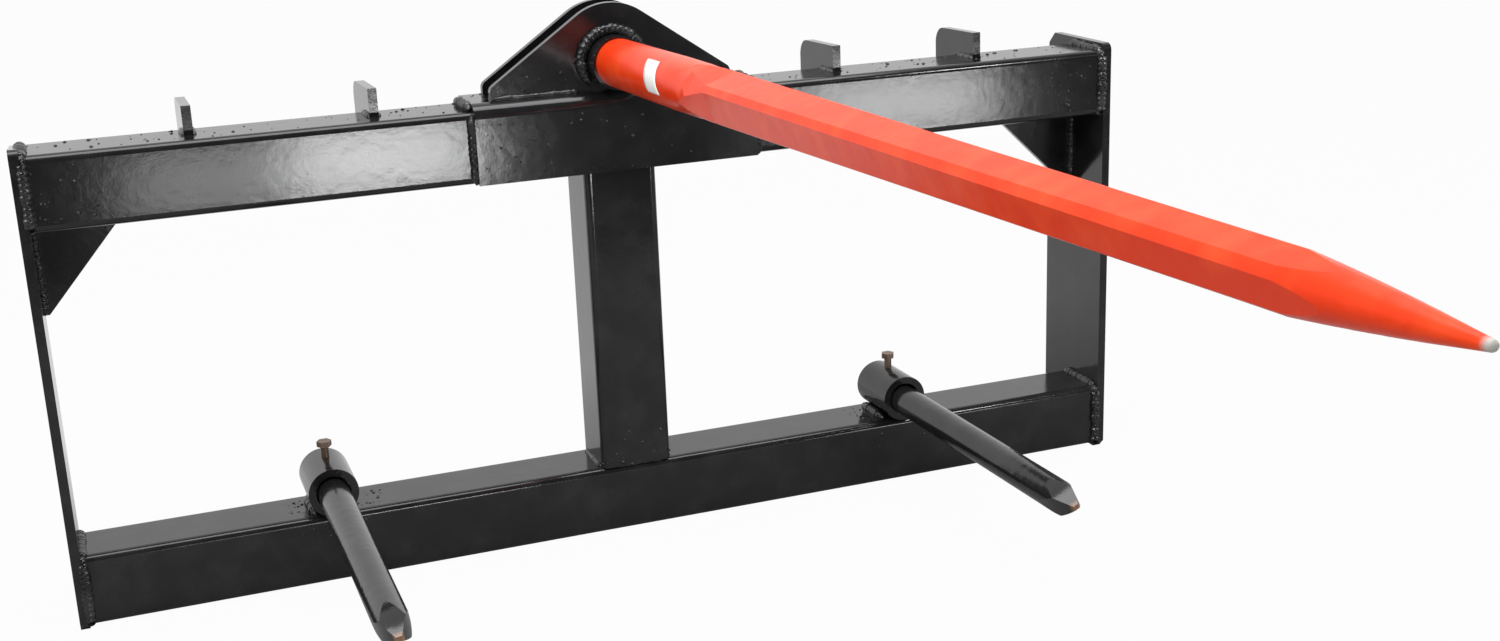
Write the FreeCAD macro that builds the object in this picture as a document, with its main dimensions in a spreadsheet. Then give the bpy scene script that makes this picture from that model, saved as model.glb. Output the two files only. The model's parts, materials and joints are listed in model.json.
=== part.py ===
import FreeCAD, Part
import math
import os
import re
import Sketcher
from FreeCAD import Placement, Rotation, Vector

# Bale spear for a skid-steer loader: a welded frame of square tube between two end plates,
# one long forged spear on a saddle in the middle and two short stabiliser bars low down.
#
# Frame: X to the right, Y to the rear (towards the loader), Z up; the spears point to -Y.
# The origin is the middle of the rear mounting plane, which is the rear face of the tubes.

os.makedirs("parts", exist_ok=True)
doc = FreeCAD.newDocument("bale_spear")
sheet = doc.addObject("Spreadsheet::Sheet", "Dims")
desk = doc.addObject("Spreadsheet::Sheet", "Desk")

# Driving sizes, in millimetres and degrees.
SIZES = {
    # frame envelope and end plates
    "frame_width": 1143,
    "frame_height": 476,
    "plate_thick": 9,
    "plate_proud": 3.5,
    "plate_reach": 44,
    "plate_nose_radius": 8,
    "plate_rear_chamfer": 12,
    "plate_left_fall": 14,
    "plate_toe_chamfer": 8,
    # square tube of both rails and the post
    "tube_size": 72,
    "tube_wall": 5,
    "tube_radius": 7,
    "tube_top_gap": 8,
    "tube_bottom_gap": 4,
    "post_wide": 76,
    # corner gussets under the top tube
    "gusset_thick": 8,
    "gusset_left_wide": 86,
    "gusset_right_wide": 101,
    "gusset_tall": 93.5,
    "gusset_nose": 5,
    # bent saddle over the top tube
    "saddle_thick": 8,
    "saddle_wide": 294,
    "saddle_rear_gap": 10,
    "bend_gap": 1,
    # pair of triangular lugs that hold the spear socket
    "lug_thick": 8,
    "lug_setback": 10,
    "lug_pitch": 34,
    "lug_wide": 252,
    "lug_round": 58,
    "lug_slope": 34.8,
    "lug_corner_radius": 8,
    "lug_hole_gap": 0.4,
    # spear socket
    "socket_radius": 27,
    "socket_length": 110,
    "socket_proud": 28,
    "socket_rear_bore": 19,
    "fit_gap": 0.15,
    # main spear
    "spear_tilt": 1.93,
    "spear_roll": 20,
    "spear_reach": 1266,
    "spear_root_radius": 24.3,
    "shank_rear_radius": 18.5,
    "round_length": 276,
    "blend_length": 112,
    "flat_half_root": 18.6,
    "flat_half_tip": 13,
    "flat_curve": 1400,
    "flat_lead_in": 2,
    "corner_radius_tip": 16.3,
    "point_length": 124,
    "point_blunt": 2.9,
    "point_curve": 2200,
    "thread_radius": 12,
    "thread_length": 34,
    "thread_chamfer": 1.5,
    "washer_thick": 4,
    "washer_radius": 22,
    "nut_thick": 19,
    "nut_flats": 36,
    # stabiliser sleeves, bars and set bolts
    "stab_left": 318.5,
    "stab_left_turn": 0,
    "stab_left_roll": 10,
    "stab_right": 310.7,
    "stab_right_turn": 1.8,
    "stab_right_roll": 26,
    "sleeve_radius": 25,
    "sleeve_length": 68,
    "sleeve_proud": 4,
    "bore_gap": 1.6,
    "bar_radius": 15.9,
    "bar_length": 419,
    "bar_point_length": 46,
    "bar_point_half": 2.5,
    "bar_point_curve": 95,
    "bolt_radius": 4,
    "bolt_standing": 12,
    "bolt_setback": 28,
    "head_thick": 5.5,
    "head_flats": 13,
    # loader side: top lip, hook plates and latch plate
    "lip_thick": 10,
    "lip_wide": 68,
    "lip_slope": 45,
    "hook_thick": 9,
    "hook_1_inset": 159.5,
    "hook_2_inset": 334,
    "hook_3_inset": 317,
    "hook_4_inset": 150,
    "hook_front": 42,
    "hook_rise": 28,
    "hook_fall": 3,
    "hook_corner_radius": 18,
    "latch_thick": 12,
    "latch_wide": 64,
    "latch_slope": 20,
    "slot_spacing": 790,
    "slot_length": 64,
    "slot_radius": 15,
    "slot_setback": 34,
    # weld beads
    "weld_ring_leg": 11,
    "weld_ring_turn": 270,
    "weld_saddle_leg": 7,
    "weld_lug_leg": 5,
    "weld_lug_clear": 36,
    "weld_hook_leg": 5,
    "weld_sleeve_toe": 26,
    "weld_sleeve_root": 8,
    "weld_sleeve_clear": 5,
    # how far a cut runs past the surface it trims
    "cut_clear": 10,
}

# Levels and stations that follow from the driving sizes.
WORKED_OUT = {
    "half_width": "frame_width / 2",
    "half_height": "frame_height / 2",
    "bay_half": "half_width - plate_thick",
    "top_tube_top": "half_height - tube_top_gap",
    "top_tube_base": "top_tube_top - tube_size",
    "low_tube_base": "tube_bottom_gap - half_height",
    "low_tube_top": "low_tube_base + tube_size",
    "post_length": "top_tube_base - low_tube_top",
    "saddle_top": "top_tube_top + saddle_thick",
    "lug_face": "tube_size - lug_setback",
    "axis_level": "saddle_top + socket_radius",
    "lug_axis_level": "axis_level + (lug_face - saddle_rear_gap) * tan(spear_tilt)",
    "socket_front": "lug_face - saddle_rear_gap + socket_proud",
    "socket_rear": "socket_length - socket_front",
    "sleeve_level": "low_tube_top + sleeve_radius",
    "bore_radius": "bar_radius + bore_gap",
    "bar_level": "sleeve_level - bore_gap + fit_gap",
    "sleeve_front": "tube_size + sleeve_proud",
    "sleeve_rear": "sleeve_front - sleeve_length",
    "bolt_back": "(sleeve_rear + bolt_setback)",
    "bar_tip": "sleeve_rear + bar_length",
    "lip_root": "top_tube_top - tube_radius",
    "lip_end_back": "lip_wide * cos(lip_slope)",
    "lip_end_level": "lip_root - lip_wide * sin(lip_slope)",
    "latch_root": "low_tube_base + tube_radius",
}

for row, (name, size) in enumerate(SIZES.items(), start=1):
    sheet.set(f"A{row}", name)
    sheet.set(f"B{row}", str(size))
    sheet.setAlias(f"B{row}", name)
doc.recompute()

# How near to the place asked for an edge's middle has to lie.
EDGE_REACH = 0.5
# Any angle but zero, which sets a turn's axis before its expression takes over.
FIRST_ANGLE = 1
# Faces that are forged or ground on each bar.
BAR_FACES = 4
WORD = re.compile(r"[a-z][a-z0-9_]*")


def swap_words(text, known, form):
    """The text with each known name put through the form."""
    return WORD.sub(lambda found: form(found[0]) if found[0] in known else found[0], text)


def spelled_out(text):
    """The text with every worked-out name replaced by the driving sizes it stands for."""
    while any(word in WORKED_OUT for word in WORD.findall(text)):
        text = swap_words(text, WORKED_OUT, lambda word: f"({WORKED_OUT[word]})")
    return text


def bound(text):
    """Expression that ties a property to the sheet."""
    return swap_words(spelled_out(text), SIZES, lambda word: f"Dims.{word}")


def number(text):
    """Present value of a size or of a sum of sizes, worked out on a sheet of its own."""
    desk.set("A1", "=" + bound(text))
    desk.recompute()
    found = desk.get("A1")
    return float(getattr(found, "Value", found))


# ---------------------------------------------------------------- modelling helpers


def new_body(label):
    body = doc.addObject("PartDesign::Body", label)
    body.Label = label
    return body


def new_sketch(body, role, name, offset="0"):
    """Sketch on one of the body's own origin planes, moved along the plane's normal."""
    sketch = body.newObject("Sketcher::SketchObject", f"{body.Label}_{name}")
    plane = next(item for item in body.Origin.OriginFeatures if item.Role == role)
    sketch.AttachmentSupport = [(plane, "")]
    sketch.MapMode = "FlatFace"
    sketch.setExpression(".AttachmentOffset.Base.z", bound(offset))
    return sketch


def pin(sketch, geometry, place, across, up):
    """Hold one point of the sketch at the given distances from its origin."""
    for kind, text in (("DistanceX", across), ("DistanceY", up)):
        index = sketch.addConstraint(Sketcher.Constraint(kind, -1, 1, geometry, place, number(text)))
        sketch.setExpression(f"Constraints[{index}]", bound(text))


def hold_radius(sketch, geometry, text):
    index = sketch.addConstraint(Sketcher.Constraint("Radius", geometry, number(text)))
    sketch.setExpression(f"Constraints[{index}]", bound(text))


def arc_between(start, end, radius):
    """Arc from start to end that bulges to the left of that direction, or to the right if radius < 0."""
    chord = end - start
    middle = (start + end) / 2
    side = Vector(-chord.y, chord.x, 0).normalize()
    rise = abs(radius) - math.sqrt(radius**2 - (chord.Length / 2) ** 2)
    return Part.Arc(start, middle + side * math.copysign(rise, radius), end)


def outline(sketch, corners, curves=None):
    """Closed outline through the corners; curves gives a side's number and its arc radius."""
    curves = curves or {}
    points = [Vector(number(across), number(up), 0) for across, up in corners]
    count = len(points)
    ends = []
    for side in range(count):
        start = points[side]
        end = points[(side + 1) % count]
        if side in curves:
            sign = -1 if curves[side].startswith("-") else 1
            radius = curves[side].lstrip("-")
            arc = arc_between(start, end, sign * number(radius))
            sketch.addGeometry(arc, False)
            hold_radius(sketch, side, radius)
            drawn = sketch.Geometry[side]
            ends.append((1, 2) if drawn.StartPoint.distanceToPoint(start) < 1e-6 else (2, 1))
        else:
            sketch.addGeometry(Part.LineSegment(start, end), False)
            ends.append((1, 2))
    for side in range(count):
        after = (side + 1) % count
        sketch.addConstraint(Sketcher.Constraint("Coincident", side, ends[side][1], after, ends[after][0]))
    for side, (across, up) in enumerate(corners):
        pin(sketch, side, ends[side][0], across, up)


def circle(sketch, across, up, radius):
    centre = Vector(number(across), number(up), 0)
    index = sketch.addGeometry(Part.Circle(centre, Vector(0, 0, 1), number(radius)), False)
    pin(sketch, index, 3, across, up)
    hold_radius(sketch, index, radius)


def slot(sketch, across, up, length, radius):
    """Slot along the sketch's own horizontal, with fully round ends."""
    half = f"({length} / 2 - {radius})"
    size = number(radius)
    level = number(up)
    left = number(f"{across} - {half}")
    right = number(f"{across} + {half}")
    first = sketch.GeometryCount
    up_axis = Vector(0, 0, 1)
    left_end = Part.Circle(Vector(left, level, 0), up_axis, size)
    right_end = Part.Circle(Vector(right, level, 0), up_axis, size)
    sketch.addGeometry(Part.ArcOfCircle(left_end, math.pi / 2, 3 * math.pi / 2), False)
    sketch.addGeometry(Part.ArcOfCircle(right_end, -math.pi / 2, math.pi / 2), False)
    low = level - size
    high = level + size
    sketch.addGeometry(Part.LineSegment(Vector(left, low, 0), Vector(right, low, 0)), False)
    sketch.addGeometry(Part.LineSegment(Vector(right, high, 0), Vector(left, high, 0)), False)
    for one, its_end, other, other_end in ((0, 2, 2, 1), (2, 2, 1, 1), (1, 2, 3, 1), (3, 2, 0, 1)):
        joint = Sketcher.Constraint("Tangent", first + one, its_end, first + other, other_end)
        sketch.addConstraint(joint)
    pin(sketch, first, 3, f"{across} - {half}", up)
    pin(sketch, first + 1, 3, f"{across} + {half}", up)
    hold_radius(sketch, first, radius)


def pad(body, sketch, length, both_ways=False, backwards=False):
    feature = body.newObject("PartDesign::Pad", f"{sketch.Name}_pad")
    feature.Profile = sketch
    feature.setExpression("Length", bound(length))
    feature.Midplane = both_ways
    feature.Reversed = backwards
    sketch.Visibility = False
    doc.recompute()
    return feature


def pocket(body, sketch, backwards=False, both_ways=False):
    """Cut right through, and make sure that something was cut."""
    before = body.Shape.Volume
    feature = body.newObject("PartDesign::Pocket", f"{sketch.Name}_cut")
    feature.Profile = sketch
    feature.Type = "ThroughAll"
    feature.Reversed = backwards
    feature.Midplane = both_ways
    doc.recompute()
    if body.Shape.Volume >= before - 1e-6:
        raise RuntimeError(f"{feature.Name} cuts nothing")
    return feature


def revolve(body, sketch, axis="H_Axis", turn="360", both_ways=False):
    feature = body.newObject("PartDesign::Revolution", f"{sketch.Name}_turn")
    feature.Profile = sketch
    feature.ReferenceAxis = (sketch, [axis])
    feature.setExpression("Angle", bound(turn))
    feature.Midplane = both_ways
    doc.recompute()
    return feature


def round_edges(body, wanted, radius, name="round"):
    """Fillet on the edges whose middle and direction the test accepts."""
    base = body.Tip
    chosen = []
    for index, edge in enumerate(base.Shape.Edges, start=1):
        middle = edge.valueAt((edge.FirstParameter + edge.LastParameter) / 2)
        way = edge.tangentAt(edge.FirstParameter)
        if wanted(middle, way, edge):
            chosen.append(f"Edge{index}")
    feature = body.newObject("PartDesign::Fillet", f"{body.Label}_{name}")
    feature.Base = (base, chosen)
    feature.setExpression("Radius", bound(radius))
    doc.recompute()
    return feature


def along(axis, point, mirrored=False):
    """Test for straight edges along an axis through a point of the other two axes, or its mirror images."""
    number_of = {"x": 0, "y": 1, "z": 2}[axis]
    others = [i for i in range(3) if i != number_of]

    def accept(middle, way, edge):
        if edge.Curve.TypeId != "Part::GeomLine" or abs(abs(way[number_of]) - 1) > 1e-6:
            return False
        places = [abs(middle[i]) if mirrored else middle[i] for i in others]
        return all(abs(place - value) < EDGE_REACH for place, value in zip(places, point))

    return accept


def set_place(item, across="0", back="0", up="0"):
    for key, text in (("x", across), ("y", back), ("z", up)):
        item.setExpression(f".Placement.Base.{key}", bound(text))


def lay_on_spear_axis(body):
    """Local Y becomes the spear's axis, which climbs towards the tip and passes over the saddle's rear."""
    body.Placement = Placement(Vector(0, 0, 0), Rotation(Vector(-1, 0, 0), number("spear_tilt")))
    body.setExpression(".Placement.Rotation.Angle", bound("spear_tilt"))
    set_place(body, "0", "-saddle_rear_gap", "axis_level")


SIDES = (("left", "-"), ("right", ""))


def set_at_station(item, side, sign, up="0"):
    """Local Y becomes a stabiliser's own axis, seen from above."""
    item.Placement = Placement(Vector(0, 0, 0), Rotation(Vector(0, 0, 1), FIRST_ANGLE))
    item.setExpression(".Placement.Rotation.Angle", bound(f"stab_{side}_turn"))
    set_place(item, f"{sign}stab_{side}", "0", up)


# ---------------------------------------------------------------- frame


def box_section(sketch, wide, deep):
    """Rectangle about the sketch's origin, given its half sizes."""
    outline(sketch, [(f"-{wide}", f"-{deep}"), (wide, f"-{deep}"), (wide, deep), (f"-{wide}", deep)])


def box_tube(label, length, role, up, wide="tube_size"):
    """Hollow section with rounded corners, centred on its own axis and flush with the tubes' faces."""
    body = new_body(label)
    axis = "x" if role == "YZ_Plane" else "z"
    outer = new_sketch(body, role, "outer")
    half_wide = f"({wide} / 2)"
    half_deep = "(tube_size / 2)"
    box_section(outer, half_wide, half_deep)
    pad(body, outer, length, both_ways=True)
    corner = (number(half_wide), number(half_deep))
    round_edges(body, along(axis, corner, mirrored=True), "tube_radius", "outer_round")
    inner = new_sketch(body, role, "inner")
    half_wide = f"({wide} / 2 - tube_wall)"
    half_deep = "(tube_size / 2 - tube_wall)"
    box_section(inner, half_wide, half_deep)
    pocket(body, inner, both_ways=True)
    corner = (number(half_wide), number(half_deep))
    round_edges(body, along(axis, corner, mirrored=True), "tube_radius - tube_wall", "inner_round")
    set_place(body, "0", "-tube_size / 2", up)
    return body


def end_plate(side, sign, fall):
    """Flat plate that closes the tubes and flanks the loader's coupler behind them."""
    body = new_body(f"end_plate_{side}")
    start = "-half_width" if sign else "half_width - plate_thick"
    profile = new_sketch(body, "YZ_Plane", "profile", start)
    front = "-(tube_size + plate_proud)"
    outline(
        profile,
        [
            (front, "plate_toe_chamfer - half_height"),
            ("plate_toe_chamfer - tube_size - plate_proud", "-half_height"),
            ("plate_reach", "-half_height"),
            ("plate_reach", f"half_height - {fall} - plate_rear_chamfer"),
            ("plate_reach - plate_rear_chamfer", f"half_height - {fall}"),
            (front, "half_height"),
        ],
    )
    pad(body, profile, "plate_thick")
    nose = (number(front), number("half_height"))
    round_edges(body, along("x", nose), "plate_nose_radius", "nose")
    return body


def gusset(side, sign):
    """Corner plate under the top tube, with a short nose against the end plate."""
    body = new_body(f"gusset_{side}")
    profile = new_sketch(body, "XZ_Plane", "profile")
    outline(
        profile,
        [
            (f"{sign}bay_half", "top_tube_base"),
            (f"{sign}(bay_half - gusset_{side}_wide)", "top_tube_base"),
            (f"{sign}(bay_half - gusset_nose)", "top_tube_base - gusset_tall"),
            (f"{sign}bay_half", "top_tube_base - gusset_tall"),
        ],
    )
    pad(body, profile, "gusset_thick")
    return body


box_tube("top_tube", "2 * bay_half", "YZ_Plane", "top_tube_base + tube_size / 2")
box_tube("bottom_tube", "2 * bay_half", "YZ_Plane", "low_tube_base + tube_size / 2")
box_tube("centre_post", "post_length", "XY_Plane", "low_tube_top + post_length / 2", wide="post_wide")
end_plate("left", "-", "plate_left_fall")
end_plate("right", "", "0")
for side, sign in SIDES:
    gusset(side, sign)


# ---------------------------------------------------------------- saddle, lugs and socket


def saddle_plate():
    """Plate bent over the top tube: a flat that carries the lugs and a leg down the front."""
    body = new_body("saddle_plate")
    profile = new_sketch(body, "YZ_Plane", "profile")
    front = "-(tube_size + saddle_thick)"
    outline(
        profile,
        [
            ("-saddle_rear_gap", "top_tube_top"),
            ("-tube_size", "top_tube_top"),
            ("-tube_size", "top_tube_base"),
            (front, "top_tube_base"),
            (front, "saddle_top"),
            ("-saddle_rear_gap", "saddle_top"),
        ],
    )
    pad(body, profile, "saddle_wide", both_ways=True)
    outside = (number(front), number("saddle_top"))
    round_edges(body, along("x", outside), "tube_radius - bend_gap + saddle_thick", "outer_bend")
    inside = (number("-tube_size"), number("top_tube_top"))
    round_edges(body, along("x", inside), "tube_radius - bend_gap", "inner_bend")
    return body


def lug(label, face):
    """Triangular plate that stands on the saddle, rounded about the spear's axis."""
    body = new_body(label)
    profile = new_sketch(body, "XZ_Plane", "profile", f"{face} - lug_thick")
    peak = "lug_axis_level + lug_round / cos(lug_slope)"
    shoulder = f"{peak} - lug_wide / 2 * tan(lug_slope)"
    outline(
        profile,
        [
            ("-lug_wide / 2", "saddle_top"),
            ("lug_wide / 2", "saddle_top"),
            ("lug_wide / 2", shoulder),
            ("0", peak),
            ("-lug_wide / 2", shoulder),
        ],
    )
    pad(body, profile, "lug_thick")
    high = number(peak)
    round_edges(body, along("y", (0, high)), "lug_round", "crown")
    ends = (number("lug_wide / 2"), number(shoulder))
    round_edges(body, along("y", ends, mirrored=True), "lug_corner_radius", "corners")
    hole = new_sketch(body, "XZ_Plane", "hole")
    level = f"axis_level + ({face} - lug_thick / 2 - saddle_rear_gap) * tan(spear_tilt)"
    circle(hole, "0", level, "socket_radius + lug_hole_gap")
    pocket(body, hole, both_ways=True)
    return body


def spear_socket():
    """Turned sleeve through both lugs, with the tapered bore that the spear's shank seats in."""
    body = new_body("spear_socket")
    lay_on_spear_axis(body)
    profile = new_sketch(body, "YZ_Plane", "profile")
    outline(
        profile,
        [
            ("-socket_front", "spear_root_radius + fit_gap"),
            ("-socket_front", "socket_radius"),
            ("socket_rear", "socket_radius"),
            ("socket_rear", "socket_rear_bore"),
        ],
    )
    revolve(body, profile)
    return body


def weld_ring():
    """Fillet of weld round the socket on the front lug, open below where it meets the saddle."""
    body = new_body("weld_ring")
    set_place(body, "0", "-lug_face", "lug_axis_level")
    profile = new_sketch(body, "YZ_Plane", "profile")
    bore = "(socket_radius + lug_hole_gap)"
    outline(
        profile,
        [
            ("0", bore),
            ("0", f"{bore} + weld_ring_leg"),
            ("-weld_ring_leg", bore),
        ],
    )
    revolve(body, profile, turn="weld_ring_turn", both_ways=True)
    return body


saddle_plate()
lug("lug_front", "lug_face")
lug("lug_rear", "(lug_face - lug_pitch)")
spear_socket()
weld_ring()


# ---------------------------------------------------------------- main spear


def roll_sketch(sketch, angle):
    """Roll a sketch about its own horizontal, which is the bar's axis, with its top towards -X."""
    sketch.AttachmentOffset = Placement(Vector(0, 0, 0), Rotation(Vector(-1, 0, 0), FIRST_ANGLE))
    sketch.setExpression(".AttachmentOffset.Rotation.Angle", bound(angle))


def cut_bar_faces(body, sketch):
    """Cut the sketch's outline off a bar, four times round its axis."""
    cut = pocket(body, sketch, both_ways=True)
    pattern = body.newObject("PartDesign::PolarPattern", f"{body.Label}_faces")
    pattern.Originals = [cut]
    pattern.Axis = (sketch, ["H_Axis"])
    pattern.Angle = 360
    pattern.Occurrences = BAR_FACES
    body.Tip = pattern
    doc.recompute()


def main_spear():
    """Forged bar: tapered shank and thread, round root, four hammered flats and a round point."""
    body = new_body("main_spear")
    lay_on_spear_axis(body)
    profile = new_sketch(body, "YZ_Plane", "profile")
    shoulder = "socket_rear - washer_thick / 2"
    point_start = "-(spear_reach - point_length)"
    outline(
        profile,
        [
            ("socket_rear + thread_length", "0"),
            ("socket_rear + thread_length", "thread_radius - thread_chamfer"),
            ("socket_rear + thread_length - thread_chamfer", "thread_radius"),
            (shoulder, "thread_radius"),
            (shoulder, "shank_rear_radius"),
            ("-socket_front", "spear_root_radius"),
            ("-round_length", "spear_root_radius"),
            (point_start, "corner_radius_tip"),
            ("point_blunt - spear_reach", "point_blunt"),
            ("-spear_reach", "0"),
        ],
        curves={7: "-point_curve", 8: "-point_blunt"},
    )
    revolve(body, profile)
    flat = new_sketch(body, "YZ_Plane", "flat")
    roll_sketch(flat, "spear_roll")
    clear = "spear_root_radius + cut_clear"
    lead_in = "-round_length + blend_length / 2"
    outline(
        flat,
        [
            (lead_in, "spear_root_radius + flat_lead_in"),
            ("-(round_length + blend_length)", "flat_half_root"),
            ("-spear_reach", "flat_half_tip"),
            ("-spear_reach - cut_clear", "flat_half_tip"),
            ("-spear_reach - cut_clear", clear),
            (lead_in, clear),
        ],
        curves={0: "-flat_curve"},
    )
    cut_bar_faces(body, flat)
    return body


def hexagon(sketch, flats):
    """Hexagon about the sketch's origin, given its size across flats."""
    corner = f"{flats} / sqrt(3)"
    half = f"{flats} / 2"
    low = f"{flats} / sqrt(12)"
    outline(
        sketch,
        [
            (corner, "0"),
            (low, half),
            (f"-{low}", half),
            (f"-{corner}", "0"),
            (f"-{low}", f"-{half}"),
            (low, f"-{half}"),
        ],
    )


def spear_washer():
    body = new_body("spear_washer")
    lay_on_spear_axis(body)
    ring = new_sketch(body, "XZ_Plane", "ring", "-socket_rear")
    circle(ring, "0", "0", "washer_radius")
    circle(ring, "0", "0", "thread_radius + fit_gap")
    pad(body, ring, "washer_thick", backwards=True)
    return body


def spear_nut():
    body = new_body("spear_nut")
    lay_on_spear_axis(body)
    blank = new_sketch(body, "XZ_Plane", "blank", "-(socket_rear + washer_thick)")
    hexagon(blank, "nut_flats")
    pad(body, blank, "nut_thick", backwards=True)
    bore = new_sketch(body, "XZ_Plane", "bore")
    circle(bore, "0", "0", "thread_radius + fit_gap")
    pocket(body, bore, both_ways=True)
    return body


main_spear()
spear_washer()
spear_nut()


# ---------------------------------------------------------------- stabilisers


def stabiliser_sleeve(side, sign):
    """Thick tube on top of the bottom tube, with a tapped hole for the set bolt."""
    body = new_body(f"stabiliser_sleeve_{side}")
    set_at_station(body, side, sign)
    ring = new_sketch(body, "XZ_Plane", "ring", "sleeve_rear")
    circle(ring, "0", "sleeve_level", "sleeve_radius")
    circle(ring, "0", "sleeve_level", "bore_radius")
    pad(body, ring, "sleeve_length")
    tapped = new_sketch(body, "XY_Plane", "tapped", "sleeve_level")
    circle(tapped, "0", "-bolt_back", "bolt_radius + fit_gap")
    pocket(body, tapped, backwards=True)
    return body


def stabiliser_spear(side, sign):
    """Round bar with a four-sided point, resting on the bottom of its bore."""
    body = new_body(f"stabiliser_spear_{side}")
    set_at_station(body, side, sign, "bar_level")
    section = new_sketch(body, "XZ_Plane", "section", "sleeve_rear")
    circle(section, "0", "0", "bar_radius")
    pad(body, section, "bar_length")
    facet = new_sketch(body, "YZ_Plane", "facet")
    roll_sketch(facet, f"stab_{side}_roll")
    start = "-(bar_tip - bar_point_length)"
    clear = "bar_radius + cut_clear"
    outline(
        facet,
        [
            (start, "bar_radius"),
            ("-bar_tip", "bar_point_half"),
            ("-bar_tip - cut_clear", "bar_point_half"),
            ("-bar_tip - cut_clear", clear),
            (start, clear),
        ],
        curves={0: "-bar_point_curve"},
    )
    cut_bar_faces(body, facet)
    return body


def set_bolt(side, sign):
    """Hexagon bolt that presses the bar down, with part of its shank standing clear."""
    label = f"set_bolt_{side}"
    foot = "bar_level + bar_radius + fit_gap"
    under_head = "sleeve_level + sleeve_radius + bolt_standing"
    shank = doc.addObject("Part::Cylinder", f"{label}_shank")
    shank.setExpression("Radius", bound("bolt_radius"))
    shank.setExpression("Height", bound(f"{under_head} - ({foot})"))
    set_place(shank, "0", "-bolt_back", foot)
    head = doc.addObject("Part::Prism", f"{label}_head")
    head.Polygon = 6
    head.setExpression("Circumradius", bound("head_flats / sqrt(3)"))
    head.setExpression("Height", bound("head_thick"))
    set_place(head, "0", "-bolt_back", under_head)
    bolt = doc.addObject("Part::Fuse", label)
    bolt.Base = head
    bolt.Tool = shank
    bolt.Label = label
    set_at_station(bolt, side, sign)
    doc.recompute()
    return bolt


bolts = []
for side, sign in SIDES:
    stabiliser_sleeve(side, sign)
    stabiliser_spear(side, sign)
    bolts.append(set_bolt(side, sign))


# ---------------------------------------------------------------- loader side


def top_lip():
    """Sloping bar behind the top tube: the coupler's upper edge wedges up under it."""
    body = new_body("top_lip")
    profile = new_sketch(body, "YZ_Plane", "profile")
    outline(
        profile,
        [
            ("0", "lip_root"),
            ("0", "lip_root - lip_thick / cos(lip_slope)"),
            ("lip_end_back - lip_thick * sin(lip_slope)", "lip_end_level - lip_thick * cos(lip_slope)"),
            ("lip_end_back", "lip_end_level"),
        ],
    )
    pad(body, profile, "2 * bay_half", both_ways=True)
    return body


def hook_plate(label, across):
    """Upright plate on the top tube that reaches back over the lip and carries it."""
    body = new_body(label)
    profile = new_sketch(body, "YZ_Plane", "profile", across)
    outline(
        profile,
        [
            ("-hook_front", "top_tube_top"),
            ("0", "top_tube_top"),
            ("0", "lip_root"),
            ("lip_end_back", "lip_end_level"),
            ("lip_end_back", "top_tube_top + hook_rise - hook_fall"),
            ("-hook_front", "top_tube_top + hook_rise"),
        ],
    )
    pad(body, profile, "hook_thick", both_ways=True)
    rear_top = (number("lip_end_back"), number("top_tube_top + hook_rise - hook_fall"))
    round_edges(body, along("x", rear_top), "hook_corner_radius", "corner")
    return body


def latch_plate():
    """Sloping bar behind the bottom tube, with a slot for each of the coupler's wedge pins."""
    body = new_body("latch_plate")
    profile = new_sketch(body, "YZ_Plane", "profile")
    back = "latch_wide * cos(latch_slope)"
    up = "latch_root + latch_wide * sin(latch_slope)"
    outline(
        profile,
        [
            ("0", "latch_root"),
            (back, up),
            (f"{back} - latch_thick * sin(latch_slope)", f"{up} + latch_thick * cos(latch_slope)"),
            ("0", "latch_root + latch_thick / cos(latch_slope)"),
        ],
    )
    pad(body, profile, "2 * bay_half", both_ways=True)
    slots = new_sketch(body, "XY_Plane", "slots")
    for side, sign in SIDES:
        slot(slots, f"{sign}slot_spacing / 2", "slot_setback", "slot_length", "slot_radius")
    pocket(body, slots, both_ways=True)
    return body


top_lip()
latch_plate()
HOOKS = (
    ("1", "(hook_1_inset - half_width)"),
    ("2", "(hook_2_inset - half_width)"),
    ("3", "(half_width - hook_3_inset)"),
    ("4", "(half_width - hook_4_inset)"),
)
for place, across in HOOKS:
    hook_plate(f"hook_plate_{place}", across)


# ---------------------------------------------------------------- weld beads


def bead(label, role, corners, start, length, backwards=False):
    """Straight fillet bead: a three-cornered section drawn out along the joint."""
    body = new_body(label)
    section = new_sketch(body, role, "section", start)
    outline(section, corners)
    pad(body, section, length, backwards=backwards)
    return body


for side, sign in SIDES:
    edge = f"{sign}saddle_wide / 2"
    toe = f"{sign}(saddle_wide / 2 + weld_saddle_leg)"
    bead(
        f"weld_saddle_front_{side}",
        "XY_Plane",
        [(edge, "-tube_size"), (toe, "-tube_size"), (edge, "-(tube_size + weld_saddle_leg)")],
        "top_tube_base + tube_radius",
        "tube_size - 2 * tube_radius",
    )
    bead(
        f"weld_saddle_top_{side}",
        "XZ_Plane",
        [(edge, "top_tube_top"), (toe, "top_tube_top"), (edge, "top_tube_top + weld_saddle_leg")],
        "saddle_rear_gap",
        "tube_size - tube_radius - saddle_rear_gap",
    )
    run = "lug_wide / 2 - weld_lug_clear"
    first = "weld_lug_clear" if not sign else "-lug_wide / 2"
    front = "lug_face"
    rear = "(lug_face - lug_pitch - lug_thick)"
    for place, face, outward in (("front", front, "-"), ("rear", rear, "")):
        away = f"-{face} - weld_lug_leg" if outward else f"-{face} + weld_lug_leg"
        bead(
            f"weld_lug_{place}_{side}",
            "YZ_Plane",
            [(f"-{face}", "saddle_top"), (away, "saddle_top"), (f"-{face}", "saddle_top + weld_lug_leg")],
            first,
            run,
        )

for place, across in HOOKS:
    wall = f"{across} - hook_thick / 2"
    bead(
        f"weld_hook_{place}",
        "XZ_Plane",
        [
            (wall, "top_tube_top"),
            (f"{wall} - weld_hook_leg", "top_tube_top"),
            (wall, "top_tube_top + weld_hook_leg"),
        ],
        "tube_radius",
        "hook_front - tube_radius",
    )


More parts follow.
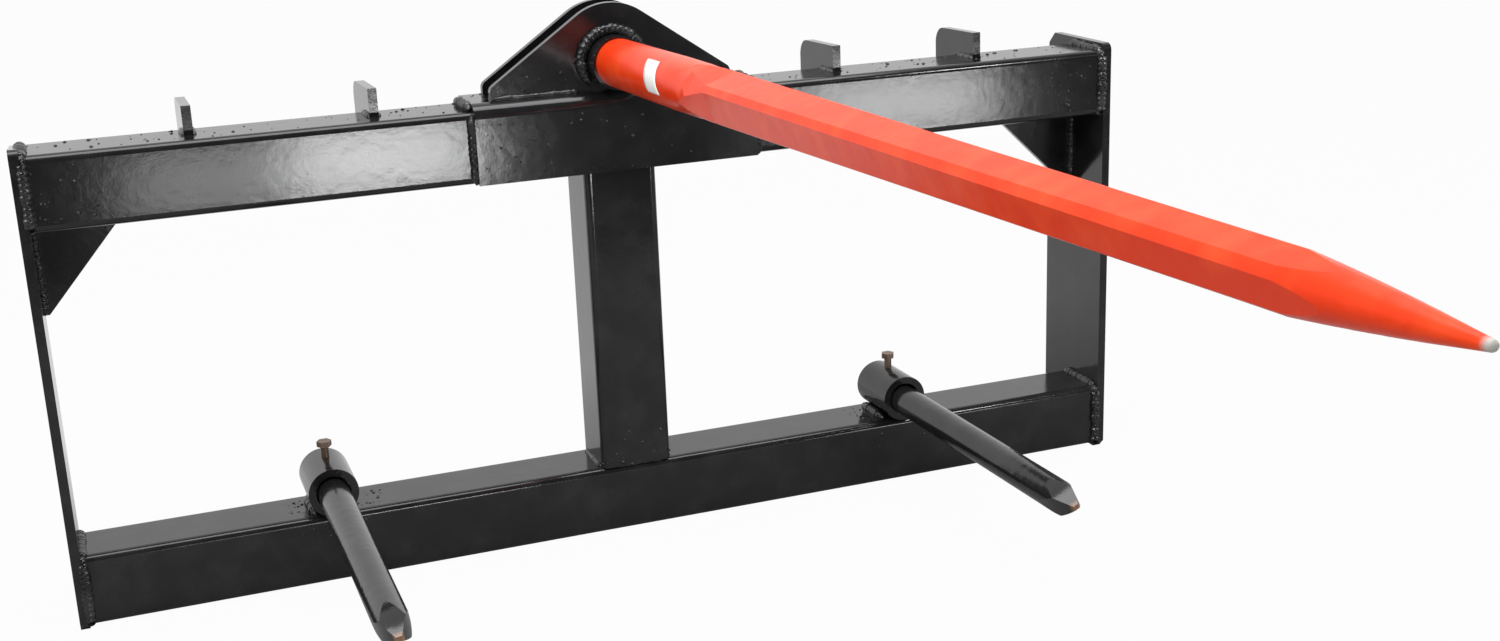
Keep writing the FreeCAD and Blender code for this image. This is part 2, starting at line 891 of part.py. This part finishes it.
def sleeve_bead(side, sign, flank, flank_sign):
    """Bead that fills the wedge between a stabiliser sleeve and the tube below it."""
    body = new_body(f"weld_sleeve_{side}_{flank}")
    set_at_station(body, side, sign)
    section = new_sketch(body, "XZ_Plane", "section", "tube_radius + weld_sleeve_clear")
    near = f"{flank_sign}weld_sleeve_root"
    toe = f"{flank_sign}weld_sleeve_toe"
    high = "low_tube_top + weld_sleeve_toe - weld_sleeve_root"
    outline(section, [(near, "low_tube_top"), (toe, "low_tube_top"), (near, high)])
    pad(body, section, "tube_size - 2 * (tube_radius + weld_sleeve_clear)")
    tube = new_sketch(body, "XZ_Plane", "tube")
    circle(tube, "0", "sleeve_level", "sleeve_radius")
    pocket(body, tube, both_ways=True)
    return body


for side, sign in SIDES:
    for flank, flank_sign in SIDES:
        sleeve_bead(side, sign, flank, flank_sign)


# ---------------------------------------------------------------- checks and files

doc.recompute()
nodes = [item for item in doc.Objects if item.TypeId == "PartDesign::Body"] + bolts
for item in doc.Objects:
    if "Invalid" in item.State or "Error" in item.State:
        raise RuntimeError(f"{item.Name} failed: {item.State}")
for node in nodes:
    if node.Shape.isNull() or not node.Shape.isValid() or len(node.Shape.Solids) != 1:
        raise RuntimeError(f"{node.Label} has no single valid solid")
for node in nodes:
    node.Shape.exportStep(f"parts/{node.Label}.step")
print(f"{len(nodes)} sub-parts written")
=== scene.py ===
# %% [markdown]
# # Dressing a bale spear
# The part arrives finished from its drawing: a welded frame of square tube, a long forged
# spear in a socket on top of it and two stabiliser bars low down. Nothing here moves or
# resizes those pieces. What this script adds is what a workshop adds last: weld beads,
# spatter, paint, a blank label, and the light to see them in.

# %% Load the finished pieces
import json
import math
import random
import bmesh
import bpy
from mathutils import Matrix, Vector, noise


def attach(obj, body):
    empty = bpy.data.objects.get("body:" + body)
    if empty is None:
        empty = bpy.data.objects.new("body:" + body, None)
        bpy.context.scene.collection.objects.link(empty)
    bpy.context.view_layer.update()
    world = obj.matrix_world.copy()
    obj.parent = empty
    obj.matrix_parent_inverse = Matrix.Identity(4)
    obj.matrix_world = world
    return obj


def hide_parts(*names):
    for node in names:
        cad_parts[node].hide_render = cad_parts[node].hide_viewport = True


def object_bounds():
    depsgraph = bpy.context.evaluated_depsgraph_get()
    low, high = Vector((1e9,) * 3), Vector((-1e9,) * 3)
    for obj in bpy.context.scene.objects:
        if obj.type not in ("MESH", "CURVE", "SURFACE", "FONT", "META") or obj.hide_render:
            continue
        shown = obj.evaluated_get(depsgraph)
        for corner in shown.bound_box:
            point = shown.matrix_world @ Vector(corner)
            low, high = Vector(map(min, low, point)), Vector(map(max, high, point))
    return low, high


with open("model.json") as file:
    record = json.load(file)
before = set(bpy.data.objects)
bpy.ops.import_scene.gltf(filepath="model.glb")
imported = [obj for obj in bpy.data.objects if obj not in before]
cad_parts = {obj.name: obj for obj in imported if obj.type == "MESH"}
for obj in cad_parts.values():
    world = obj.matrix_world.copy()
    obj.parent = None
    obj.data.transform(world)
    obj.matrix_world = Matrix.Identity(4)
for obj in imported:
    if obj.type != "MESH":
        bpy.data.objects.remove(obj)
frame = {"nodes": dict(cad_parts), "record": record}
nodes = frame["nodes"]
cad_low, cad_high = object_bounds()
print(len(nodes), "pieces loaded")

# %% [markdown]
# ## The camera
# The camera stands at the left of the spear, a little above the frame, and looks down
# along it. Three turns place it: a heading, a tilt and a slight roll. Writing them as
# angles keeps the view easy to change, where a pasted matrix would not be.

# %% Camera
eye = Vector((-0.5169, -1.8127, 0.5355))
heading = math.radians(20.50)
look_down = math.radians(16.69)
roll = math.radians(2.14)

camera_data = bpy.data.cameras.new("camera")
camera_data.lens = 43.6
camera_data.sensor_width = 36.0
camera = bpy.data.objects.new("camera", camera_data)
bpy.context.scene.collection.objects.link(camera)
turned = Matrix.Rotation(-heading, 4, "Z")
tilted = Matrix.Rotation(math.pi / 2 - look_down, 4, "X")
rolled = Matrix.Rotation(-roll, 4, "Z")
camera.matrix_world = Matrix.Translation(eye) @ turned @ tilted @ rolled
bpy.context.scene.camera = camera
print("camera stands", round(eye.length, 2), "m from the mounting face")

# %% [markdown]
# ## Lamps
# Black gloss enamel shows little but what it mirrors, so the lamps are chosen for their
# reflections. Three large panels light the frame evenly. Two small bright ones put sparks
# on beads and round bars. Three low panels stand behind the camera near the floor, where
# the top tube's front face mirrors them as pale bands to the left and right of the saddle.

# %% Lamps
bpy.context.scene.view_settings.view_transform = "Standard"


def panel(name, place, target, width, height, power):
    """A rectangular lamp at place that faces target and stays out of the camera's sight."""
    lamp = bpy.data.lights.new(name, "AREA")
    lamp.shape = "RECTANGLE"
    lamp.size = width
    lamp.size_y = height
    lamp.energy = power
    stand = bpy.data.objects.new(name, lamp)
    bpy.context.scene.collection.objects.link(stand)
    aim = Vector(target) - Vector(place)
    facing = aim.to_track_quat("-Z", "Y").to_matrix().to_4x4()
    stand.matrix_world = Matrix.Translation(place) @ facing
    stand.visible_camera = False
    return stand


lamps = [
    panel("overhead_panel", (0.0, -0.4, 2.4), (0, -0.2, 0), 2.6, 1.4, 55),
    panel("left_panel", (-2.6, -1.0, 1.3), (0, 0, 0), 1.2, 1.0, 22),
    panel("right_panel", (2.6, -1.6, 1.1), (0, 0, 0), 1.0, 1.2, 18),
    panel("spark_left", (-1.0, -1.5, 1.8), (0, 0, 0), 0.28, 0.28, 16),
    panel("spark_right", (1.5, -1.9, 1.4), (0.2, 0, 0), 0.22, 0.22, 8),
    panel("low_far_left_panel", (-0.26, -2.2, -0.23), (-0.26, 0, -0.1), 0.34, 0.14, 1.0),
    panel("low_left_panel", (0.11, -2.2, -0.22), (0.11, 0, -0.1), 0.40, 0.15, 4.2),
    panel("low_right_panel", (1.32, -2.2, -0.22), (1.0, 0, -0.1), 0.48, 0.15, 3.8),
]
print(len(lamps), "lamps stand")

# %% [markdown]
# ## World
# Behind the frame the room is white, to the camera and in reflections alike. On the
# camera's side it is dim, because a bright room there would turn black enamel grey. One
# ramp over the sky's own front-to-back direction makes both halves and a soft change
# between them.

# %% World
dim_side = 0.10
white_side = 1.0
change_width = 0.25

world = bpy.data.worlds.new("studio")
bpy.context.scene.world = world
world.use_nodes = True
tree = world.node_tree
background = tree.nodes["Background"]
background.inputs["Color"].default_value = (1, 1, 1, 1)
where = tree.nodes.new("ShaderNodeTexCoord")
split = tree.nodes.new("ShaderNodeSeparateXYZ")
depth = tree.nodes.new("ShaderNodeMapRange")
depth.inputs["From Min"].default_value = -change_width
depth.inputs["From Max"].default_value = change_width
depth.inputs["To Min"].default_value = dim_side
depth.inputs["To Max"].default_value = white_side
tree.links.new(where.outputs["Generated"], split.inputs[0])
tree.links.new(split.outputs["Y"], depth.inputs["Value"])
tree.links.new(depth.outputs[0], background.inputs["Strength"])
print("room runs from", dim_side, "in front to", white_side, "behind")

# %% [markdown]
# ## Floor
# The floor ends a little in front of the camera's view. Behind the frame it is white in
# reflections too, so the post's side and the end plate turn pale grey. In front it is a
# dull grey to reflections, which keeps the front faces black.

# %% Floor sheet
floor_reach = 12.0
floor_front = -1.30
floor_corners = [
    (-floor_reach, floor_front),
    (floor_reach, floor_front),
    (floor_reach, floor_reach),
    (-floor_reach, floor_reach),
]
floor_mesh = bpy.data.meshes.new("floor")
floor_mesh.from_pydata([(x, y, cad_low.z) for x, y in floor_corners], [], [(0, 1, 2, 3)])
floor = bpy.data.objects.new("floor", floor_mesh)
bpy.context.scene.collection.objects.link(floor)
print("floor lies at", round(cad_low.z, 3), "m")

# %% [markdown]
# The floor's colour mixes a dull grey sheet with a plain white glow. To the camera nearly
# all of it is glow, so the frame's shadow is only a trace. To reflections the glow
# grows from nothing at the frame to almost white half a metre behind it.

# %% Floor colour
floor_grey = (0.30, 0.30, 0.30, 1)
seen_glow = 0.97
mirrored_glow = 0.9
mirrored_from = 0.5

floor_paint = bpy.data.materials.new("pale_floor")
floor_paint.use_nodes = True
tree = floor_paint.node_tree
sheet = tree.nodes["Principled BSDF"]
sheet.inputs["Base Color"].default_value = floor_grey
sheet.inputs["Roughness"].default_value = 0.9
sheet.inputs["Specular IOR Level"].default_value = 0.0
glow = tree.nodes.new("ShaderNodeEmission")
glow.inputs["Strength"].default_value = 1.0
rays = tree.nodes.new("ShaderNodeLightPath")
spot = tree.nodes.new("ShaderNodeTexCoord")
split = tree.nodes.new("ShaderNodeSeparateXYZ")
behind = tree.nodes.new("ShaderNodeMapRange")
behind.inputs["From Min"].default_value = 0.0
behind.inputs["From Max"].default_value = mirrored_from
behind.inputs["To Max"].default_value = mirrored_glow
seen = tree.nodes.new("ShaderNodeMath")
seen.operation = "MULTIPLY"
seen.inputs[1].default_value = seen_glow
mirrored = tree.nodes.new("ShaderNodeMath")
mirrored.operation = "MULTIPLY"
either = tree.nodes.new("ShaderNodeMath")
either.operation = "MAXIMUM"
mixed = tree.nodes.new("ShaderNodeMixShader")
tree.links.new(rays.outputs["Is Camera Ray"], seen.inputs[0])
tree.links.new(spot.outputs["Object"], split.inputs[0])
tree.links.new(split.outputs["Y"], behind.inputs["Value"])
tree.links.new(behind.outputs[0], mirrored.inputs[0])
tree.links.new(rays.outputs["Is Glossy Ray"], mirrored.inputs[1])
tree.links.new(mirrored.outputs[0], either.inputs[0])
tree.links.new(seen.outputs[0], either.inputs[1])
tree.links.new(either.outputs[0], mixed.inputs[0])
tree.links.new(sheet.outputs[0], mixed.inputs[1])
tree.links.new(glow.outputs[0], mixed.inputs[2])
tree.links.new(mixed.outputs[0], tree.nodes["Material Output"].inputs["Surface"])
floor_mesh.materials.append(floor_paint)
print("floor glows", seen_glow, "to the camera")

# %% [markdown]
# ## Paint and steel
# Every finish is the same recipe with other values: a base colour broken up by soft
# noise, a roughness, and a bump of two grains. The coarse grain is the orange peel of
# sprayed enamel, the fine one the pitting of the steel under it. Image textures could do
# this too, but noise in the piece's own coordinates needs no seams and no files.

# %% Recipe for a finish
patch_scale = 35.0
patch_detail = 5.0
patch_low = 0.42
patch_high = 0.75
peel_height = 0.001
grit_scale = 600.0
grit_height = 0.0005
grit_strength = 0.05


def finish(name, colour, worn, roughness, metallic=0.0, peel=0.15, peel_scale=90.0):
    """Enamel or bare steel: patches between two colours, and a bump of two grains."""
    material = bpy.data.materials.new(name)
    material.use_nodes = True
    tree = material.node_tree
    shader = tree.nodes["Principled BSDF"]
    shader.inputs["Roughness"].default_value = roughness
    shader.inputs["Metallic"].default_value = metallic
    place = tree.nodes.new("ShaderNodeTexCoord")

    def grain(scale, detail):
        cloud = tree.nodes.new("ShaderNodeTexNoise")
        cloud.inputs["Scale"].default_value = scale
        cloud.inputs["Detail"].default_value = detail
        tree.links.new(place.outputs["Object"], cloud.inputs["Vector"])
        return cloud

    def bump(cloud, strength, height):
        node = tree.nodes.new("ShaderNodeBump")
        node.inputs["Strength"].default_value = strength
        node.inputs["Distance"].default_value = height
        tree.links.new(cloud.outputs["Fac"], node.inputs["Height"])
        return node

    ramp = tree.nodes.new("ShaderNodeValToRGB")
    ramp.color_ramp.elements[0].position = patch_low
    ramp.color_ramp.elements[0].color = (*colour, 1)
    ramp.color_ramp.elements[1].position = patch_high
    ramp.color_ramp.elements[1].color = (*worn, 1)
    tree.links.new(grain(patch_scale, patch_detail).outputs["Fac"], ramp.inputs["Fac"])
    tree.links.new(ramp.outputs["Color"], shader.inputs["Base Color"])
    coarse = bump(grain(peel_scale, 2.0), peel, peel_height)
    fine = bump(grain(grit_scale, 3.0), grit_strength, grit_height)
    tree.links.new(coarse.outputs[0], fine.inputs["Normal"])
    tree.links.new(fine.outputs[0], shader.inputs["Normal"])
    return material


# %% [markdown]
# ## The six finishes
# The frame, the beads and the stabiliser bars share a gloss black, with more peel on the
# beads. The spear is orange-red with little shine, the set bolts are bare and brownish,
# and the hidden nut and washer are zinc plated.

# %% Finishes
black = (0.008, 0.008, 0.009)
thin_black = (0.018, 0.018, 0.019)
weld_colour = (0.010, 0.010, 0.011)
scuffed_weld = (0.05, 0.05, 0.05)
bar_colour = (0.010, 0.010, 0.010)
scuffed_bar = (0.022, 0.020, 0.019)
red = (0.78, 0.040, 0.003)
worn_red = (0.86, 0.070, 0.012)
brown_steel = (0.16, 0.11, 0.08)
rubbed_steel = (0.30, 0.22, 0.17)
zinc_grey = (0.50, 0.50, 0.51)
zinc_pale = (0.60, 0.60, 0.60)
finishes = {
    "frame_black": finish("frame_enamel", black, thin_black, 0.13, peel=0.09),
    "weld_black": finish(
        "weld_enamel", weld_colour, scuffed_weld, 0.11, peel=0.5, peel_scale=260.0
    ),
    "bar_black": finish("bar_enamel", bar_colour, scuffed_bar, 0.14, peel=0.25),
    "spear_red": finish("spear_enamel", red, worn_red, 0.28, peel=0.5, peel_scale=38.0),
    "bare_bolt": finish("bolt_steel", brown_steel, rubbed_steel, 0.42, metallic=0.8),
    "zinc": finish("zinc_plate", zinc_grey, zinc_pale, 0.35, metallic=1.0),
}
spear_shader = finishes["spear_red"].node_tree.nodes["Principled BSDF"]
spear_shader.inputs["Specular IOR Level"].default_value = 0.18
print(len(finishes), "finishes mixed")

# %% [markdown]
# ## Bare tips
# Paint is the first thing to go where a point meets a bale. The tips are not separate
# pieces, so the colour changes inside the same material, past a given distance forward.

# %% Bare tips
paint_edge = 0.004


def bare_tip(material, start, steel):
    """Paint gives way to bare steel where the piece lies further forward than start."""
    tree = material.node_tree
    shader = tree.nodes["Principled BSDF"]
    painted = shader.inputs["Base Color"].links[0].from_socket
    place = tree.nodes.new("ShaderNodeTexCoord")
    split = tree.nodes.new("ShaderNodeSeparateXYZ")
    edge = tree.nodes.new("ShaderNodeMapRange")
    edge.inputs["From Min"].default_value = start
    edge.inputs["From Max"].default_value = start - paint_edge
    chosen = tree.nodes.new("ShaderNodeMix")
    chosen.data_type = "RGBA"
    chosen.inputs["B"].default_value = (*steel, 1)
    tree.links.new(place.outputs["Object"], split.inputs[0])
    tree.links.new(split.outputs["Y"], edge.inputs["Value"])
    tree.links.new(edge.outputs[0], chosen.inputs["Factor"])
    tree.links.new(painted, chosen.inputs["A"])
    tree.links.new(chosen.outputs["Result"], shader.inputs["Base Color"])


spear_tip = nodes["main_spear"].bound_box[0][1]
bar_tip = nodes["stabiliser_spear_left"].bound_box[0][1]
bare_tip(finishes["spear_red"], spear_tip + 0.007, (0.45, 0.43, 0.40))
bare_tip(finishes["bar_black"], bar_tip + 0.005, (0.22, 0.12, 0.07))
for part in frame["record"]["subparts"]:
    for slot in nodes[part["node"]].material_slots:
        slot.material = finishes[part["material_slot"]]
print("spear ends", round(-spear_tip, 3), "m in front of the mounting face")

# %% [markdown]
# ## Weld beads
# A bead is a row of overlapping puddles. The tube that stands for it follows its joint
# and swells at every puddle, and noise makes it uneven. Both ends close to a point. A
# plain fillet would catch one straight highlight, where a real bead breaks it into sparks.

# %% How a bead is laid
puddle = 0.0055
ring_gap = 0.0009
fewest_rings = 8
bead_sides = 12
bead_core = 0.86
ripple_share = 0.16
lump_share = 0.28
lump_scale = 140.0
taper_least = 0.02
taper_reach = 1.5


def new_piece(name, shape, material):
    """Turn a finished shape into a piece in the scene."""
    mesh = bpy.data.meshes.new(name)
    shape.to_mesh(mesh)
    shape.free()
    mesh.materials.append(material)
    piece = bpy.data.objects.new(name, mesh)
    bpy.context.scene.collection.objects.link(piece)
    return piece


def point_on(path, lengths, run):
    """Place and direction at a distance along the path."""
    number = 0
    while number < len(lengths) - 1 and run > lengths[number]:
        run -= lengths[number]
        number += 1
    along = (path[number + 1] - path[number]).normalized()
    return path[number] + along * run, along


def bead(name, path, radius, replaced=()):
    """Rippled tube along the path's straight runs, with closed and tapered ends."""
    lengths = [(after - before).length for before, after in zip(path, path[1:])]
    total = sum(lengths)
    count = max(fewest_rings, int(total / ring_gap))
    shape = bmesh.new()
    rings = []
    for index in range(count + 1):
        run = total * index / count
        centre, along = point_on(path, lengths, run)
        across = along.orthogonal().normalized()
        other = along.cross(across)
        ripple = abs(math.sin(math.pi * run / puddle))
        lump = noise.noise(centre * lump_scale)
        to_end = min(run, total - run) / radius / taper_reach
        taper = min(1.0, math.sqrt(max(taper_least, to_end)))
        size = radius * taper * (bead_core + ripple_share * ripple + lump_share * lump)
        ring = []
        for side in range(bead_sides):
            turn = 2 * math.pi * side / bead_sides
            outward = across * math.cos(turn) + other * math.sin(turn)
            ring.append(shape.verts.new(centre + outward * size))
        rings.append(ring)
    for before, after in zip(rings, rings[1:]):
        for side in range(bead_sides):
            following = (side + 1) % bead_sides
            shape.faces.new((before[side], before[following], after[following], after[side]))
    shape.faces.new(list(reversed(rings[0])))
    shape.faces.new(rings[-1])
    bmesh.ops.recalc_face_normals(shape, faces=shape.faces)
    for face in shape.faces:
        face.smooth = True
    piece = new_piece(name, shape, finishes["weld_black"])
    if replaced:
        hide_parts(*replaced)
    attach(piece, "root")
    return piece


# %% [markdown]
# ## Where the joints are
# The beads take their places from the pieces that they join, so a longer tube or a wider
# saddle carries its welds along. Three bead sizes are enough: a usual one, a thin one for
# light joints, and stouter ones where the frame carries its load.

# %% Joints
def box(name):
    """Lowest and highest corner of a node."""
    points = [Vector(corner) for corner in nodes[name].bound_box]
    low = Vector([min(point[i] for point in points) for i in range(3)])
    high = Vector([max(point[i] for point in points) for i in range(3)])
    return low, high


tube_low, tube_high = box("top_tube")
rail_low, rail_high = box("bottom_tube")
saddle_low, saddle_high = box("saddle_plate")
post_low, post_high = box("centre_post")
front_low, front_high = box("lug_front")
rear_low, rear_high = box("lug_rear")
bead_radius = 0.0045
thin_bead = bead_radius - 0.001
lug_gap = 0.036
sides = (("left", -1), ("right", 1))
print("top tube is", round(tube_high.z - tube_low.z, 3), "m tall")

# %% [markdown]
# ## Saddle and lugs
# The saddle is welded down both ends, on the front and along the top. The two lugs that
# hold the socket are welded along their feet, outside the socket's own width. These
# beads take the place of the plain fillets that came with the part.

# %% Saddle and lug beads
for side, outer in sides:
    x = saddle_high.x * outer + 0.002 * outer
    front = tube_low.y - 0.003
    bead(
        f"seam_saddle_front_{side}",
        [Vector((x, front, saddle_low.z)), Vector((x, front, tube_high.z - 0.003))],
        bead_radius,
        replaced=[f"weld_saddle_front_{side}"],
    )
    top = tube_high.z + 0.003
    bead(
        f"seam_saddle_top_{side}",
        [Vector((x, tube_low.y + 0.004, top)), Vector((x, saddle_high.y, top))],
        bead_radius + 0.001,
        replaced=[f"weld_saddle_top_{side}"],
    )
    feet = (
        ("front", front_low.y - 0.001, front_low),
        ("rear", rear_high.y + 0.001, rear_low),
    )
    for place, y, low in feet:
        foot = low.z + 0.001
        bead(
            f"seam_lug_{place}_{side}",
            [Vector((outer * front_high.x, y, foot)), Vector((outer * lug_gap, y, foot))],
            thin_bead,
            replaced=[f"weld_lug_{place}_{side}"],
        )
print("saddle beads reach", round(saddle_high.x, 3), "m to each side")

# %% [markdown]
# ## Ring round the socket
# One bead runs round the socket on the front lug's face. It stays open below, where the
# saddle is in the way. The path is a row of points on an arc, close enough together that
# the ripples hide the corners.

# %% Socket bead
ring_bead = 0.0062
ring_sink = 0.0065
ring_start, ring_end, ring_step = -42, 223, 4
weld_low, weld_high = box("weld_ring")
half_width = (weld_high.x - weld_low.x) / 2
ring_middle = weld_high.z - half_width
ring_radius = half_width - ring_sink
ring_path = []
for degrees in range(ring_start, ring_end, ring_step):
    turn = math.radians(degrees)
    across = math.cos(turn) * ring_radius
    level = ring_middle + math.sin(turn) * ring_radius
    ring_path.append(Vector((across, front_low.y - 0.002, level)))
bead("seam_ring", ring_path, ring_bead, replaced=["weld_ring"])
print("socket bead has radius", round(ring_radius, 4), "m")

# %% [markdown]
# ## Frame joints
# Both rails end against the side plates, and a bead runs round three sides of each end.
# The gussets are welded to plate and rail, and the post to both rails.

# %% Frame beads
post_ends = (("foot", rail_high.z), ("head", tube_low.z))
for side, outer in sides:
    wall = outer * (tube_high.x - 0.001)
    for rail, low, high in (("top", tube_low, tube_high), ("low", rail_low, rail_high)):
        face = low.y - 0.0005
        bead(
            f"seam_{rail}_end_{side}",
            [
                Vector((wall, -0.004, high.z)),
                Vector((wall, low.y + 0.006, high.z)),
                Vector((wall, face, high.z - 0.006)),
                Vector((wall, face, low.z + 0.006)),
                Vector((wall, low.y + 0.008, low.z)),
            ],
            bead_radius + 0.0015,
        )
    gusset_low, gusset_high = box(f"gusset_{side}")
    face = gusset_low.y - 0.001
    corner = Vector((wall, face, tube_low.z))
    bead(f"seam_gusset_wall_{side}", [Vector((wall, face, gusset_low.z)), corner], bead_radius)
    inner_end = gusset_high.x if outer < 0 else gusset_low.x
    inner = Vector((inner_end, face, tube_low.z))
    bead(f"seam_gusset_top_{side}", [corner, inner], thin_bead)
    for end, level in post_ends:
        x = outer * post_high.x
        bead(
            f"seam_post_{end}_{side}",
            [Vector((x, post_low.y + 0.008, level)), Vector((x, -0.008, level))],
            thin_bead,
        )
for end, level in post_ends:
    y = post_low.y + 0.005
    bead(
        f"seam_post_{end}_front",
        [Vector((-post_high.x + 0.006, y, level)), Vector((post_high.x - 0.006, y, level))],
        thin_bead,
    )
print("frame beads laid round", len(post_ends) * len(sides), "tube ends and the post")

# %% [markdown]
# ## Hook plates and sleeves
# Each hook plate has a thin bead at either side of its foot. Each sleeve lies on the
# bottom rail, and a stouter bead fills the wedge at either side.

# %% Hook and sleeve beads
hook_count = 4
for number in range(1, hook_count + 1):
    hook_low, hook_high = box(f"hook_plate_{number}")
    for flank, x in (("left", hook_low.x), ("right", hook_high.x)):
        bead(
            f"seam_hook_{number}_{flank}",
            [Vector((x, hook_low.y, tube_high.z)), Vector((x, -0.006, tube_high.z))],
            thin_bead,
            replaced=[f"weld_hook_{number}"] if flank == "left" else [],
        )

wedge_inset = 0.007
for side, _ in sides:
    for flank, _ in sides:
        weld_low, weld_high = box(f"weld_sleeve_{side}_{flank}")
        x = weld_low.x + wedge_inset if flank == "left" else weld_high.x - wedge_inset
        top = rail_high.z + 0.001
        bead(
            f"seam_sleeve_{side}_{flank}",
            [Vector((x, -0.064, top)), Vector((x, -0.010, top))],
            bead_radius + 0.0015,
            replaced=[f"weld_sleeve_{side}_{flank}"],
        )
print(hook_count, "hook plates and", len(sides), "sleeves welded")

# %% [markdown]
# ## Spatter
# Welding throws small drops that freeze where they land, and paint covers them. Each
# place gets a handful of flattened drops, all in one mesh, because hundreds of separate
# pieces would be slow to handle. The seed is fixed, so they fall the same way every time.

# %% Spatter
spatter_seed = 7
smallest_drop = 0.0007
drop_spread = 0.0017
drop_height = 0.7
dice = random.Random(spatter_seed)
drops = bmesh.new()


def scatter(low, high, flat_axis, count):
    """Flattened drops spread over the face between two corners, centred on it."""
    for _ in range(count):
        place = Vector([dice.uniform(low[i], high[i]) for i in range(3)])
        size = smallest_drop + drop_spread * dice.random() ** 3
        stretch = [1.0, 1.0, 1.0]
        stretch[flat_axis] = drop_height
        matrix = Matrix.Translation(place) @ Matrix.Diagonal((*stretch, 1.0))
        bmesh.ops.create_icosphere(drops, subdivisions=1, radius=size, matrix=matrix)


face_front, face_top = 1, 2
rim = 0.008
near_end = 0.07

scatter(
    (saddle_low.x, saddle_low.y, saddle_low.z),
    (saddle_high.x, saddle_low.y, saddle_high.z - 0.015),
    face_front,
    60,
)
scatter(
    (saddle_low.x, -0.062, saddle_high.z), (saddle_high.x, -0.012, saddle_high.z), face_top, 120
)
scatter(
    (-0.10, front_low.y, front_low.z), (0.10, front_low.y, front_low.z + 0.022), face_front, 90
)
scatter(
    (tube_low.x, tube_low.y, tube_low.z + rim),
    (tube_low.x + near_end, tube_low.y, tube_high.z - rim),
    face_front,
    45,
)
scatter(
    (tube_high.x - near_end, tube_low.y, tube_low.z + rim),
    (tube_high.x, tube_low.y, tube_high.z - rim),
    face_front,
    45,
)
scatter((tube_low.x, -0.06, tube_high.z), (tube_high.x, -0.01, tube_high.z), face_top, 200)
for _, outer in sides:
    x = outer * 0.315
    scatter((x - 0.05, -0.062, rail_high.z), (x + 0.05, -0.010, rail_high.z), face_top, 60)
    scatter(
        (x - 0.04, rail_low.y, rail_high.z - 0.03),
        (x + 0.04, rail_low.y, rail_high.z - rim),
        face_front,
        20,
    )
scatter(
    (post_low.x, post_low.y, post_low.z),
    (post_high.x, post_low.y, post_low.z + 0.04),
    face_front,
    20,
)
for face in drops.faces:
    face.smooth = True
print("spatter has", len(drops.faces), "faces")
spatter = new_piece("spatter", drops, finishes["weld_black"])
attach(spatter, "root")

# %% [markdown]
# ## The blank label
# A paper label sits on the spear's round root. It carries nothing. It is a strip of a
# slightly wider cylinder about the spear's own axis, and its lower edge lies further
# forward, because it was put on askew. A modifier gives it a thickness.

# %% Label
root_radius = 0.0243
socket_radius = 0.027
climb = math.radians(1.93)
lift = 0.0003
paper = 0.0002
label_start = 0.222
label_length = 0.034
label_drift = 0.018
label_top = 52
label_sweep = 72
columns = 6
rows = 24

pivot = Vector((0.0, -0.010, saddle_high.z + socket_radius))
forward = Vector((0.0, -math.cos(climb), math.sin(climb)))
upward = Vector((0.0, math.sin(climb), math.cos(climb)))
leftward = Vector((-1.0, 0.0, 0.0))
strip = bmesh.new()
grid = []
for row in range(rows + 1):
    turn = math.radians(label_top - label_sweep * row / rows)
    outward = leftward * math.cos(turn) + upward * math.sin(turn)
    line = []
    for column in range(columns + 1):
        run = label_start + label_drift * row / rows + label_length * column / columns
        line.append(strip.verts.new(pivot + forward * run + outward * (root_radius + lift)))
    grid.append(line)
for upper, lower in zip(grid, grid[1:]):
    for column in range(columns):
        corners = (upper[column], lower[column], lower[column + 1], upper[column + 1])
        strip.faces.new(corners).smooth = True
bmesh.ops.recalc_face_normals(strip, faces=strip.faces)
label_paper = finish("label_paper", (0.82, 0.82, 0.80), (0.88, 0.88, 0.87), 0.4, peel=0.05)
label = new_piece("blank_label", strip, label_paper)
label.modifiers.new("thickness", "SOLIDIFY").thickness = paper
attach(label, "root")
print("label is", label_length, "m wide")
